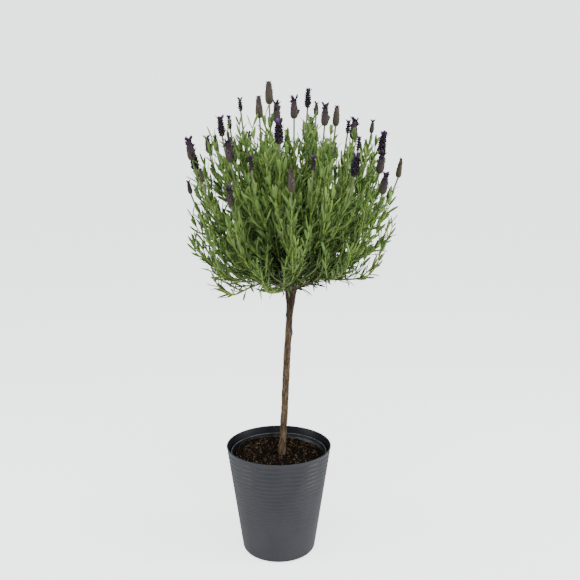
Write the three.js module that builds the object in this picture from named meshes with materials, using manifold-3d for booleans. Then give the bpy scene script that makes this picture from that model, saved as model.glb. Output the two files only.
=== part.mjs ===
// A potted lavender grown as a small standard: one bare woody stem carries a round head of leafy shoots,
// and dark flower spikes stand over it. The root ball sits in a thin nursery pot, and that stands in a
// tapered cover pot. Millimetres, +Z up, +Y to the back. The origin is the centre of the cover pot's foot.
import * as THREE from "three";
import { mergeVertices } from "three/addons/utils/BufferGeometryUtils.js";
import Module from "manifold-3d";

const wasm = await Module();
wasm.setup();

// ---- driving dimensions ----
const GAP = 0.3; // clearance between pieces that touch
const ROUND = 32; // facets round the pots

const COVER = {
  height: 193.5,
  topRadius: 91.8,
  footRadius: 63.5,
  wall: 2.2,
  floor: 3,
  footCurve: 8, // radius of the curve between foot and wall
  lip: 3, // height of the thinned edge of the rim
};
// Shallow grooves run round the upper two thirds of the cover pot, closer together lower down.
const GROOVES = { top: 187, count: 17, topPitch: 8.5, lowPitch: 5.6, depth: 1 };
const NURSERY = {
  rimHeight: 182,
  rimRadius: 84,
  rimBand: 9, // height of the turned-out rim
  shoulderRadius: 81.2,
  footRadius: 54,
  wall: 1.2,
  drainRadius: 5,
  drainCircle: 36,
  drains: 6,
};
const SOIL = { top: 174, crown: 3, foot: 0.6 }; // crown: how far the compost rises at the stem

const STEM = {
  // points up the middle of the bare stem, from the planted end to the head
  line: [
    [4, 0, 112],
    [5.4, 0, 174],
    [10, -1, 255],
    [14.6, 0, 353],
    [17.4, 1, 402],
    [20, 0, 446],
    [21, 0, 470],
  ],
  radius: 5.5,
  headRadius: 12, // the knuckle where all the branches start
  buttress: 1.4, // how much thicker the stem is where it enters the compost
};
const HEAD = new THREE.Vector3(21, 0, 470);
const UP = new THREE.Vector3(0, 0, 1);

const BRANCH_RINGS = [
  // how many branches leave the knuckle at each lean from upright, and where the first one points
  { count: 1, lean: 4, first: 0 },
  { count: 5, lean: 31, first: 18 },
  { count: 8, lean: 66, first: 0 },
];
const LIMB = { length: 52, baseRadius: 2.5, endRadius: 2, sides: 6 }; // the old wood of each branch
const FORKS = { first: 0.3, last: 0.96 }; // share of the limb over which its shoots leave it
const SHOOT = { baseRadius: 1.6, tipRadius: 0.8, sides: 4, steps: 6 };
const LEAF = { length: 30, width: 4.2, thickness: 1.1, angle: 32 };
// A pair of leaves grows from the middle of each step of the shoot, from the step named here on.
const FLOWERING = { pairs: 2, firstStep: 3 };
const LEAFY = { pairs: 3, firstStep: 3 };
const OUTER_SHOOTS = { count: 24, lowLean: 88, highLean: 44, lowReach: 116, perDegree: 2.5 };
const INNER_SHOOTS = { count: 4, lean: 20, reach: 232 };
const GOLDEN_ANGLE = 137.508;

// The flower spikes stand over the head on a dome, spread by the golden angle. Towards the edge of the dome they
// stand lower and lean further out, and their heights and lengths rise and fall in waves.
const SPIKES = {
  count: 42,
  first: 0, // where the first one points
  edgeLean: 47, // how far from upright the outermost stalks leave the knuckle
  topReach: 304, // from the knuckle to the foot of the most upright spike
  edgeReach: 238, // and to the foot of the outermost
  reachWave: { height: 12, beat: 2.1 },
  length: 30,
  lengthWave: { height: 9, beat: 1.3 },
  slimness: 0.36, // thickness over length
  nod: 0.25, // the share of its stalk's lean that a spike keeps
};

// ---- small helpers ----
const rad = THREE.MathUtils.degToRad;
const material = (color, roughness) => new THREE.MeshStandardMaterial({ color, roughness, metalness: 0 });

// Only positions are kept, and shared corners are merged, so that the surface is closed.
function closed(geometry) {
  const plain = geometry.index ? geometry.toNonIndexed() : geometry.clone();
  plain.deleteAttribute("normal");
  plain.deleteAttribute("uv");
  return mergeVertices(plain, 1e-4);
}

function solidOf(geometry) {
  const g = closed(geometry);
  return new wasm.Manifold(
    new wasm.Mesh({
      numProp: 3,
      vertProperties: g.attributes.position.array,
      triVerts: new Uint32Array(g.index.array),
    }),
  );
}

function geometryOf(solid) {
  const mesh = solid.getMesh();
  const geometry = new THREE.BufferGeometry();
  geometry.setAttribute("position", new THREE.BufferAttribute(mesh.vertProperties, 3));
  geometry.setIndex(new THREE.BufferAttribute(mesh.triVerts, 1));
  geometry.computeVertexNormals();
  return geometry;
}

const join = (geometries) => geometries.map(solidOf).reduce((a, b) => a.add(b));

// A direction that leans so far from upright, towards a bearing measured from +X to +Y.
function direction(leanDegrees, bearingDegrees) {
  const lean = rad(leanDegrees);
  const bearing = rad(bearingDegrees);
  return new THREE.Vector3(
    Math.sin(lean) * Math.cos(bearing),
    Math.sin(lean) * Math.sin(bearing),
    Math.cos(lean),
  );
}

// The tangent at a share of a curve, with two directions square to it. The sideways one stays level.
function frameAlong(curve, share) {
  const span = curve.getPoint(1).sub(curve.getPoint(0));
  const level = new THREE.Vector3().crossVectors(UP, span).normalize();
  const tangent = curve.getTangent(share);
  const above = new THREE.Vector3().crossVectors(tangent, level).normalize();
  const sideways = new THREE.Vector3().crossVectors(above, tangent);
  return { tangent, above, sideways };
}

// A round or square rod bent along a curve. radiusAt gives its radius at each share of the curve.
function rodAlong(curve, radiusAt, sides, steps) {
  const rod = new THREE.CylinderGeometry(1, 1, 1, sides, steps);
  const at = rod.attributes.position;
  for (let i = 0; i < at.count; i++) {
    const share = at.getY(i) + 0.5;
    const { above, sideways } = frameAlong(curve, share);
    const point = curve
      .getPoint(share)
      .addScaledVector(sideways, at.getX(i) * radiusAt(share))
      .addScaledVector(above, -at.getZ(i) * radiusAt(share));
    at.setXYZ(i, point.x, point.y, point.z);
  }
  return rod;
}

// A turned shape from [radius, height] pairs. LatheGeometry turns about Y, and the part's up is Z.
function turned(outline, facets = ROUND) {
  const points = outline.map(([r, z]) => new THREE.Vector2(r, z));
  return new THREE.LatheGeometry(points, facets).rotateX(Math.PI / 2);
}

// ---- pots and compost ----
const coverOuter = (z) => COVER.footRadius + ((COVER.topRadius - COVER.footRadius) * z) / COVER.height;

function groovedWall() {
  const outline = [];
  let z = GROOVES.top;
  for (let i = 0; i < GROOVES.count; i++) {
    const pitch = THREE.MathUtils.lerp(GROOVES.topPitch, GROOVES.lowPitch, i / (GROOVES.count - 1));
    outline.push([coverOuter(z), z]);
    outline.push([coverOuter(z - pitch / 2) - GROOVES.depth, z - pitch / 2]);
    z -= pitch;
  }
  outline.push([coverOuter(z), z]);
  return outline.reverse();
}

function coverPot() {
  const { height, topRadius, wall, floor, footCurve, lip } = COVER;
  const foot = [0, 30, 60, 90].map((a) => [
    coverOuter(footCurve) - footCurve * (1 - Math.sin(rad(a))),
    footCurve * (1 - Math.cos(rad(a))),
  ]);
  return turned([
    [0, 0],
    ...foot,
    ...groovedWall(),
    [coverOuter(height - lip), height - lip],
    [topRadius - 0.4, height],
    [topRadius - wall + 0.4, height],
    [coverOuter(height - lip) - wall, height - lip],
    [coverOuter(footCurve) - wall, footCurve],
    [coverOuter(0) - wall - footCurve / 2, floor],
    [0, floor],
  ]);
}

const nurseryFloor = COVER.floor + GAP;
const nurserySlope =
  (NURSERY.shoulderRadius - NURSERY.footRadius) / (NURSERY.rimHeight - NURSERY.rimBand - nurseryFloor);
const nurseryOuter = (z) => NURSERY.footRadius + nurserySlope * (z - nurseryFloor);

function nurseryPot() {
  const { rimHeight, rimRadius, rimBand, wall, drainRadius, drainCircle, drains } = NURSERY;
  const shoulder = rimHeight - rimBand;
  const shell = turned([
    [0, nurseryFloor],
    [nurseryOuter(nurseryFloor), nurseryFloor],
    [nurseryOuter(shoulder), shoulder],
    [rimRadius, shoulder],
    [rimRadius, rimHeight],
    [rimRadius - wall, rimHeight],
    [nurseryOuter(shoulder) - wall, shoulder],
    [nurseryOuter(nurseryFloor + wall) - wall, nurseryFloor + wall],
    [0, nurseryFloor + wall],
  ]);
  let pot = solidOf(shell);
  for (let i = 0; i < drains; i++) {
    const bearing = (i / drains) * 2 * Math.PI;
    const hole = new THREE.CylinderGeometry(drainRadius, drainRadius, 6, 8).rotateX(Math.PI / 2);
    hole.translate(drainCircle * Math.cos(bearing), drainCircle * Math.sin(bearing), nurseryFloor);
    pot = pot.subtract(solidOf(hole));
  }
  return geometryOf(pot);
}

const stemLine = new THREE.CatmullRomCurve3(STEM.line.map((p) => new THREE.Vector3(...p)));

function stemRadius(share) {
  const buttress = STEM.buttress * Math.max(0, 1 - Math.abs(share - 0.17) * 9);
  const flare = 5 * Math.max(0, share - 0.86) ** 1.3 * 8;
  return STEM.radius + buttress + flare;
}

function compost() {
  const base = nurseryFloor + NURSERY.wall + GAP;
  const inside = (z) => nurseryOuter(z) - NURSERY.wall - GAP;
  const plug = turned([
    [0, base],
    [inside(base) - SOIL.foot, base],
    [inside(SOIL.top - 2), SOIL.top - 2],
    [inside(SOIL.top) - 4, SOIL.top],
    [30, SOIL.top + 0.6],
    [0, SOIL.top + SOIL.crown],
  ]);
  const hole = rodAlong(stemLine, (s) => stemRadius(s) + GAP + 0.1, 10, 16);
  const cut = solidOf(plug).subtract(solidOf(hole).translate([0, 0, -0.4]));
  return geometryOf(cut);
}

// ---- the woody stem, with the knuckle it was pruned back to ----
function woodyStem() {
  const rod = rodAlong(stemLine, stemRadius, 10, 16);
  const knuckle = new THREE.SphereGeometry(STEM.headRadius, 12, 8)
    .rotateX(Math.PI / 2)
    .translate(HEAD.x, HEAD.y, HEAD.z);
  return geometryOf(join([rod, knuckle]));
}

// ---- shoots ----
// A shoot forks off its limb between the limb's own direction and the tip's, then bends up to its tip.
function shootLine(fork, along, tip) {
  const reach = fork.distanceTo(tip);
  const leaving = along.clone().lerp(tip.clone().sub(fork).normalize(), 0.5).normalize();
  const rising = tip.clone().sub(HEAD).normalize().lerp(UP, 0.62).normalize();
  return new THREE.CubicBezierCurve3(
    fork,
    fork.clone().addScaledVector(leaving, reach * 0.3),
    tip.clone().addScaledVector(rising, -reach * 0.46),
    tip,
  );
}

const spikes = Array.from({ length: SPIKES.count }, (_, i) => {
  const share = (i + 0.5) / SPIKES.count;
  const lean = SPIKES.edgeLean * Math.sqrt(share);
  const bearing = SPIKES.first + i * GOLDEN_ANGLE;
  const { reachWave, lengthWave } = SPIKES;
  const dome = THREE.MathUtils.lerp(SPIKES.topReach, SPIKES.edgeReach, share);
  const reach = dome + reachWave.height * Math.sin(i * reachWave.beat);
  const length = SPIKES.length + lengthWave.height * Math.sin(i * lengthWave.beat);
  return {
    base: HEAD.clone().addScaledVector(direction(lean, bearing), reach),
    axis: direction(lean * SPIKES.nod, bearing),
    length,
    thickness: length * SPIKES.slimness,
  };
});

function flowerSpike({ base, axis, length, thickness }) {
  const r = thickness / 2;
  const body = turned(
    [
      [0, 0],
      [r * 0.8, length * 0.14],
      [r, length * 0.42],
      [r * 0.62, length * 0.8],
      [0, length],
    ],
    6,
  );
  const turn = new THREE.Quaternion().setFromUnitVectors(UP, axis);
  return body.applyQuaternion(turn).translate(...base.clone().addScaledVector(axis, GAP).toArray());
}

const leafyTips = [
  ...Array.from({ length: OUTER_SHOOTS.count }, (_, i) => {
    const { count, lowLean, highLean, lowReach, perDegree } = OUTER_SHOOTS;
    const lean = lowLean + ((highLean - lowLean) * i) / (count - 1);
    const reach = lowReach + (lowLean - lean) * perDegree;
    return HEAD.clone().addScaledVector(direction(lean, 200 + i * GOLDEN_ANGLE), reach);
  }),
  ...Array.from({ length: INNER_SHOOTS.count }, (_, i) =>
    HEAD.clone().addScaledVector(direction(INNER_SHOOTS.lean, 50 + i * 90), INNER_SHOOTS.reach),
  ),
];

const branches = BRANCH_RINGS.flatMap(({ count, lean, first }) =>
  Array.from({ length: count }, (_, i) => {
    const along = direction(lean, first + (360 / count) * i);
    const start = HEAD.clone().addScaledVector(along, STEM.headRadius + GAP);
    const limb = new THREE.LineCurve3(start, start.clone().addScaledVector(along, LIMB.length));
    return { along, limb, tips: [] };
  }),
);

// Each tip belongs to the branch that points nearest to it.
function giveTip(point, habit) {
  const towards = point.clone().sub(HEAD).normalize();
  const nearest = branches.reduce((a, b) => (b.along.dot(towards) > a.along.dot(towards) ? b : a));
  nearest.tips.push({ point, habit, closeness: nearest.along.dot(towards) });
}
spikes.forEach((spike) => giveTip(spike.base, FLOWERING));
leafyTips.forEach((tip) => giveTip(tip, LEAFY));

// The shoots that turn away most leave the limb first, and the straightest one carries on from its end.
for (const branch of branches) {
  branch.tips.sort((a, b) => a.closeness - b.closeness);
  branch.shoots = branch.tips.map(({ point, habit }, i) => {
    const share = THREE.MathUtils.lerp(FORKS.first, FORKS.last, (i + 1) / branch.tips.length);
    return { line: shootLine(branch.limb.getPoint(share), branch.along, point), habit };
  });
}

// ---- clearances ----
// Every stalk, leaf and spike is kept as a few straight rods, so that pieces of two branches never meet.
const rods = [];
const keep = (owner, from, to, radius) => rods.push({ owner, from, to, radius });

function gapBetween(p1, q1, p2, q2) {
  const d1 = q1.clone().sub(p1);
  const d2 = q2.clone().sub(p2);
  const r = p1.clone().sub(p2);
  const [a, e, f, c, b] = [d1.dot(d1), d2.dot(d2), d2.dot(r), d1.dot(r), d1.dot(d2)];
  const spread = a * e - b * b;
  const clamp = (v) => Math.min(1, Math.max(0, v));
  let s = spread > 1e-9 ? clamp((b * f - c * e) / spread) : 0;
  let t = (b * s + f) / e;
  if (t < 0 || t > 1) {
    t = clamp(t);
    s = clamp((b * t - c) / a);
  }
  const onFirst = p1.clone().addScaledVector(d1, s);
  return onFirst.distanceTo(p2.clone().addScaledVector(d2, t));
}

const isClear = (owner, from, to, radius) =>
  rods.every((rod) => {
    if (rod.owner === owner) return true;
    return gapBetween(from, to, rod.from, rod.to) > radius + rod.radius + GAP;
  });

spikes.forEach((s, i) => {
  const end = s.base.clone().addScaledVector(s.axis, s.length);
  keep(`spike ${i}`, s.base.clone().addScaledVector(s.axis, s.thickness / 2), end, s.thickness / 2);
});
const shootRadius = (share) => SHOOT.baseRadius + (SHOOT.tipRadius - SHOOT.baseRadius) * share;
const limbRadius = (share) => LIMB.baseRadius + (LIMB.endRadius - LIMB.baseRadius) * share;
branches.forEach(({ limb, shoots }, b) => {
  keep(b, limb.v1, limb.v2, LIMB.baseRadius);
  for (const { line } of shoots) {
    const points = line.getPoints(SHOOT.steps * 2);
    points.slice(1).forEach((p, i) => keep(b, points[i], p, shootRadius(i / points.length)));
  }
});

// ---- leaves ----
// A narrow blade that stands off the shoot. Pairs stand opposite each other, each pair a quarter turn on.
function leaf(root, out) {
  const half = LEAF.length / 2;
  const blade = new THREE.OctahedronGeometry(1).scale(LEAF.width / 2, LEAF.thickness / 2, half);
  const flat = new THREE.Vector3().crossVectors(UP, out).normalize();
  const normal = new THREE.Vector3().crossVectors(out, flat);
  const turn = new THREE.Matrix4().makeBasis(flat, normal, out);
  return blade.applyMatrix4(turn).translate(...root.clone().addScaledVector(out, half).toArray());
}

function leavesOf(owner, { line, habit }) {
  const made = [];
  for (let pair = 0; pair < habit.pairs; pair++) {
    const step = habit.firstStep + pair;
    const middle = (step + 0.5) / SHOOT.steps;
    const joint = line.getPoint(step / SHOOT.steps).lerp(line.getPoint((step + 1) / SHOOT.steps), 0.5);
    const { tangent, above, sideways } = frameAlong(line, middle);
    const side = pair % 2 ? above : sideways;
    side.applyAxisAngle(tangent, 0.4);
    for (const hand of [1, -1]) {
      const root = joint.clone().addScaledVector(side, hand * 0.5 * shootRadius(middle));
      const out = tangent.clone().multiplyScalar(Math.cos(rad(LEAF.angle)));
      out.addScaledVector(side, hand * Math.sin(rad(LEAF.angle))).normalize();
      const tip = root.clone().addScaledVector(out, LEAF.length);
      if (!isClear(owner, root, tip, LEAF.width / 2)) continue;
      keep(owner, root, tip, LEAF.width / 2);
      made.push(leaf(root, out));
    }
  }
  return made;
}

function branchGeometry({ limb, shoots }, owner) {
  const wood = rodAlong(limb, limbRadius, LIMB.sides, 1);
  const stalks = shoots.map(({ line }) => rodAlong(line, shootRadius, SHOOT.sides, SHOOT.steps));
  const leaves = shoots.flatMap((shoot) => leavesOf(owner, shoot));
  return geometryOf(join([wood, ...stalks, ...leaves]));
}

// ---- assembly ----
const plant = new THREE.Group();
function piece(name, geometry, finish) {
  const mesh = new THREE.Mesh(geometry, finish);
  mesh.name = name;
  plant.add(mesh);
}
const numbered = (name, index) => `${name}_${String(index + 1).padStart(2, "0")}`;

const anthracite = material(0x54575c, 0.5);
const blackPlastic = material(0x17181a, 0.55);
const darkCompost = material(0x2a1d14, 1);
const bark = material(0x6e563e, 0.9);
const foliage = material(0x5b7f3a, 0.65);
const bloom = material(0x3b2340, 0.7);

piece("cover_pot", coverPot(), anthracite);
piece("nursery_pot", nurseryPot(), blackPlastic);
piece("potting_compost", compost(), darkCompost);
piece("woody_stem", woodyStem(), bark);
branches.forEach((branch, i) => piece(numbered("branch", i), branchGeometry(branch, i), foliage));
spikes.forEach((spike, i) => piece(numbered("flower_spike", i), flowerSpike(spike), bloom));

export default plant;
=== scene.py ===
# A lavender grown as a small standard, in the black pot it was raised in, dropped into a cover pot.
# The file follows the object from the ground up: cover pot, nursery pot, compost, woody stem, the leafy
# branches that grow from its head, the flower spikes, and last the floor, the lights and the camera.
import math
import random

import bmesh
import bpy
from mathutils import Matrix, Vector, noise


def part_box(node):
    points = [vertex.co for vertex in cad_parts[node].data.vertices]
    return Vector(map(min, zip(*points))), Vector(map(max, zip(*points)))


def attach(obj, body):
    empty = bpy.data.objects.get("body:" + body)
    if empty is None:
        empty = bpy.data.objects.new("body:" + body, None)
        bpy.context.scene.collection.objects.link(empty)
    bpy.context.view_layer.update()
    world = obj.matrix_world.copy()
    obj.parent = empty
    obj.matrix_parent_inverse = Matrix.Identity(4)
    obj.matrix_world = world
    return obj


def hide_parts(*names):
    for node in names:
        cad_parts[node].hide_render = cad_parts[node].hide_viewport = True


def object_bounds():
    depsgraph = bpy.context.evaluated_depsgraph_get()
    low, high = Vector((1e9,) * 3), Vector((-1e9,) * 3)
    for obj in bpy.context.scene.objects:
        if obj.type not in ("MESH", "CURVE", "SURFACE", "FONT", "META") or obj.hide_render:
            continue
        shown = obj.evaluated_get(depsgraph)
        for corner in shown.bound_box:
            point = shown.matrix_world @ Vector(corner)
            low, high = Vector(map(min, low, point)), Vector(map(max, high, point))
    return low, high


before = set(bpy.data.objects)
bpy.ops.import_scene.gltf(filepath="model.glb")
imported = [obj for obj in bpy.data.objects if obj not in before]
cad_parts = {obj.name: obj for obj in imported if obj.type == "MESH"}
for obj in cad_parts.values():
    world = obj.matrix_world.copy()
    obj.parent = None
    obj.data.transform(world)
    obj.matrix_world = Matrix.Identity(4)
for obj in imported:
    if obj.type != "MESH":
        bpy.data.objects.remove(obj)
cad_low, cad_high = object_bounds()
MM = 0.001

# ---- cover pot ----
# The outer pot is injection-moulded polypropylene, coloured anthracite all through. Its wall tapers so that
# it slides off the mould, shallow ribs stiffen the upper two thirds, and the lip is left thin and rounded.
POT_WALL = 2.2 * MM
POT_FLOOR = 3 * MM
POT_FOOT_CURVE = 8 * MM
POT_FOOT_RADIUS = 63.5 * MM
RIB_TOP = 188.5 * MM
RIB_FOOT = 64 * MM
RIB_STEP = 1.1 * MM  # how finely the ribbed wall is cut
AROUND = 144  # how many faces go round a pot


def add_node(tree, kind, sockets=None, **settings):
    """Adds a node to a tree. A socket, named or numbered, gets a value or another node's output."""
    made = tree.nodes.new(kind)
    for name, value in settings.items():
        setattr(made, name, value)
    for key, value in (sockets or {}).items():
        if isinstance(value, bpy.types.Node):
            value = value.outputs[0]
        if isinstance(value, bpy.types.NodeSocket):
            tree.links.new(value, made.inputs[key])
        else:
            made.inputs[key].default_value = value
    return made


def calculate(tree, operation, *values):
    """A Math node on one to three numbers or sockets. It gives back the result's socket."""
    return add_node(tree, "ShaderNodeMath", dict(enumerate(values)), operation=operation).outputs[0]


def rescale(tree, value, low, high, new_low, new_high):
    """Moves a value from one range to another, and clamps it there."""
    ranges = {0: value, 1: low, 2: high, 3: new_low, 4: new_high}
    return add_node(tree, "ShaderNodeMapRange", ranges).outputs[0]


def blend_colours(tree, share, first, second):
    """Goes from the first colour to the second as share goes from 0 to 1."""
    return add_node(tree, "ShaderNodeMix", {0: share, 6: first, 7: second}, data_type="RGBA").outputs[2]


def object_spot(tree):
    """Where a point is on the object, for a pattern to follow."""
    return add_node(tree, "ShaderNodeTexCoord").outputs["Object"]


def noise_at(tree, spot, scale, detail):
    return add_node(tree, "ShaderNodeTexNoise", {"Vector": spot, "Scale": scale, "Detail": detail}).outputs[0]


def height_of(tree, vector):
    return add_node(tree, "ShaderNodeSeparateXYZ", {0: vector}).outputs[2]


def scaled(tree, vector, factor):
    return add_node(tree, "ShaderNodeVectorMath", {0: vector, "Scale": factor}, operation="SCALE")


def painted(tree, name):
    """Reads one of the marks on a mesh in a material."""
    return add_node(tree, "ShaderNodeAttribute", attribute_name=name).outputs["Fac"]


def read_mark(tree, name, kind="FLOAT"):
    """Reads one of the marks on a mesh in a growth tree."""
    return add_node(tree, "GeometryNodeInputNamedAttribute", {"Name": name}, data_type=kind).outputs[0]


def new_growth(name, sizes):
    """An empty Geometry Nodes tree with one geometry in and out, and a named input for each size."""
    kinds = {float: "Float", int: "Int", bpy.types.Material: "Material", bpy.types.Collection: "Collection"}
    tree = bpy.data.node_groups.new(name, "GeometryNodeTree")
    tree.interface.new_socket("Geometry", in_out="INPUT", socket_type="NodeSocketGeometry")
    for label, value in sizes.items():
        tree.interface.new_socket(label, in_out="INPUT", socket_type="NodeSocket" + kinds[type(value)])
    tree.interface.new_socket("Geometry", in_out="OUTPUT", socket_type="NodeSocketGeometry")
    return tree, add_node(tree, "NodeGroupInput").outputs


def end_growth(tree, geometry):
    add_node(tree, "NodeGroupOutput", {0: geometry})


def realise_and_end(tree, geometry, finish):
    solid = add_node(tree, "GeometryNodeRealizeInstances", {0: geometry})
    end_growth(tree, add_node(tree, "GeometryNodeSetMaterial", {0: solid, "Material": finish}))


def grow(piece, tree, sizes):
    """Runs a tree on a piece with these sizes, and keeps the result as the piece's own plain mesh."""
    modifier = piece.modifiers.new(tree.name, "NODES")
    modifier.node_group = tree
    for socket in tree.interface.items_tree:
        if socket.name in sizes:
            modifier[socket.identifier] = sizes[socket.name]
    shaped = piece.evaluated_get(bpy.context.evaluated_depsgraph_get())
    mesh = bpy.data.meshes.new_from_object(shaped)
    piece.modifiers.clear()
    piece.data = mesh


def place(name, mesh, *finishes):
    """A new object of this mesh at the origin, with its materials and smooth faces."""
    piece = bpy.data.objects.new(name, mesh)
    bpy.context.scene.collection.objects.link(piece)
    for finish in finishes:
        mesh.materials.append(finish)
    mesh.shade_smooth()
    return piece


def fix_to_frame(piece, slot, *nodes):
    """The plant and its pots stand still together, so each piece rides on the root body."""
    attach(piece, "root")
    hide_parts(*nodes)


def mesh_from(shape, name):
    """Turns a shape's faces outwards and keeps it as a mesh."""
    bmesh.ops.recalc_face_normals(shape, faces=shape.faces)
    mesh = bpy.data.meshes.new(name)
    shape.to_mesh(mesh)
    shape.free()
    return mesh


def turn(name, outline, around=AROUND):
    """Turns (radius, height) points about Z into one closed mesh. The outline starts and ends on the axis."""
    shape = bmesh.new()
    rings = []
    for radius, height in outline:
        angles = [2 * math.pi * i / around for i in range(around if radius > 0 else 1)]
        rings.append([shape.verts.new((radius * math.cos(a), radius * math.sin(a), height)) for a in angles])
    for low, high in zip(rings, rings[1:]):
        for i in range(around):
            corners = [low[i % len(low)], low[(i + 1) % around % len(low)]]
            corners += [high[(i + 1) % around % len(high)], high[i % len(high)]]
            shape.faces.new(dict.fromkeys(corners))
    return mesh_from(shape, name)


def moulded_plastic_group():
    """Moulded plastic: a fine grain from the tool, a faint cloudiness, and scuffs that catch the light."""
    group = bpy.data.node_groups.new("Moulded plastic", "ShaderNodeTree")
    for label, kind in (("Colour", "Color"), ("Scuff colour", "Color"), ("Scuffing", "Float")):
        group.interface.new_socket(label, in_out="INPUT", socket_type="NodeSocket" + kind)
    for label, kind in (("Colour", "Color"), ("Roughness", "Float"), ("Height", "Float")):
        group.interface.new_socket(label, in_out="OUTPUT", socket_type="NodeSocket" + kind)
    given = add_node(group, "NodeGroupInput").outputs
    spot = object_spot(group)
    grain = noise_at(group, spot, 1300, 2)
    cloud = noise_at(group, spot, 22, 4)
    long_way = add_node(group, "ShaderNodeMapping", {"Vector": spot, "Scale": (260, 260, 30)})
    streak = noise_at(group, long_way, 1, 5)
    rubbed = rescale(group, streak, 0.62, 0.74, 0, 1)
    scuffed = calculate(group, "MULTIPLY", rubbed, given["Scuffing"])
    cloudiness = rescale(group, cloud, 0.3, 0.7, 0, 0.16)
    tone = blend_colours(group, cloudiness, given["Colour"], (0.12, 0.125, 0.135, 1))
    colour = blend_colours(group, scuffed, tone, given["Scuff colour"])
    roughness = rescale(group, cloud, 0.3, 0.7, 0.36, 0.47)
    rougher = calculate(group, "ADD", roughness, calculate(group, "MULTIPLY", scuffed, 0.25))
    results = {"Colour": colour, "Roughness": rougher, "Height": calculate(group, "ADD", grain, scuffed)}
    add_node(group, "NodeGroupOutput", results)
    return group


moulded_plastic = moulded_plastic_group()


def new_finish(name):
    """A material with an empty Principled shader. It gives back the material, its tree and the shader."""
    finish = bpy.data.materials.new(name)
    finish.use_nodes = True
    return finish, finish.node_tree, finish.node_tree.nodes["Principled BSDF"]


def use_colour_roughness_and_bump(tree, shader, colour, roughness, height, depth):
    bump = add_node(tree, "ShaderNodeBump", {"Height": height, "Distance": depth, "Strength": 1})
    for name, value in (("Base Color", colour), ("Roughness", roughness), ("Normal", bump.outputs[0])):
        tree.links.new(value, shader.inputs[name])


def plastic_finish(name, colour, scuff_colour, scuffing):
    finish, tree, shader = new_finish(name)
    values = {"Colour": colour, "Scuff colour": scuff_colour, "Scuffing": scuffing}
    mix = add_node(tree, "ShaderNodeGroup", node_tree=moulded_plastic)
    for label, value in values.items():
        mix.inputs[label].default_value = value
    use_colour_roughness_and_bump(tree, shader, *mix.outputs, 0.00004)
    return finish


def rib_growth(sizes):
    """Presses ribs into the wall: rings of grooves that come closer together and shallower lower down."""
    tree, given = new_growth("Pot ribs", sizes)
    spot = add_node(tree, "GeometryNodeInputPosition").outputs[0]
    height = height_of(tree, spot)
    wall = read_mark(tree, "wall")
    tall = calculate(tree, "SUBTRACT", given["Top"], given["Foot"])
    share = calculate(tree, "DIVIDE", calculate(tree, "SUBTRACT", height, given["Foot"]), tall)
    widening = calculate(tree, "SUBTRACT", given["Top spacing"], given["Foot spacing"])
    spacing = calculate(tree, "MULTIPLY_ADD", share, widening, given["Foot spacing"])
    spread = calculate(tree, "LOGARITHM", calculate(tree, "DIVIDE", spacing, given["Foot spacing"]), math.e)
    turns = calculate(tree, "MULTIPLY", calculate(tree, "DIVIDE", spread, widening), tall)
    wave = calculate(tree, "COSINE", calculate(tree, "MULTIPLY", turns, 2 * math.pi))
    groove = calculate(tree, "MULTIPLY_ADD", wave, -0.5, 0.5)
    round_about = add_node(tree, "ShaderNodeVectorMath", {0: spot, 1: (1, 1, 0.12)}, operation="MULTIPLY")
    uneven = noise_at(tree, round_about, 22, 1)
    patchy = rescale(tree, uneven, 0.3, 0.7, 0.75, 1.1)
    fading = rescale(tree, share, 0, 0.7, 0.35, 1)
    depth = calculate(tree, "MULTIPLY", calculate(tree, "MULTIPLY", groove, patchy), fading)
    inwards = calculate(tree, "MULTIPLY", calculate(tree, "MULTIPLY", depth, wall), given["Depth"])
    radial = add_node(tree, "ShaderNodeVectorMath", {0: spot, 1: (1, 1, 0)}, operation="MULTIPLY")
    radial = add_node(tree, "ShaderNodeVectorMath", {0: radial}, operation="NORMALIZE")
    push = calculate(tree, "MULTIPLY", inwards, -1)
    push = scaled(tree, radial, push)
    ribbed = add_node(tree, "GeometryNodeSetPosition", {"Geometry": given["Geometry"], "Offset": push})
    realise_and_end(tree, ribbed, given["Finish"])
    return tree


def paint_shade_inside(finish):
    """Painted shade on the inner wall: its colour is blended to near-black wherever the mesh is marked
    inside.
    """
    tree = finish.node_tree
    shader = tree.nodes["Principled BSDF"]
    plain = shader.inputs["Base Color"].links[0].from_socket
    inside = painted(tree, "inside")
    tree.links.new(blend_colours(tree, inside, plain, (0.008, 0.009, 0.014, 1)), shader.inputs["Base Color"])


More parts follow.
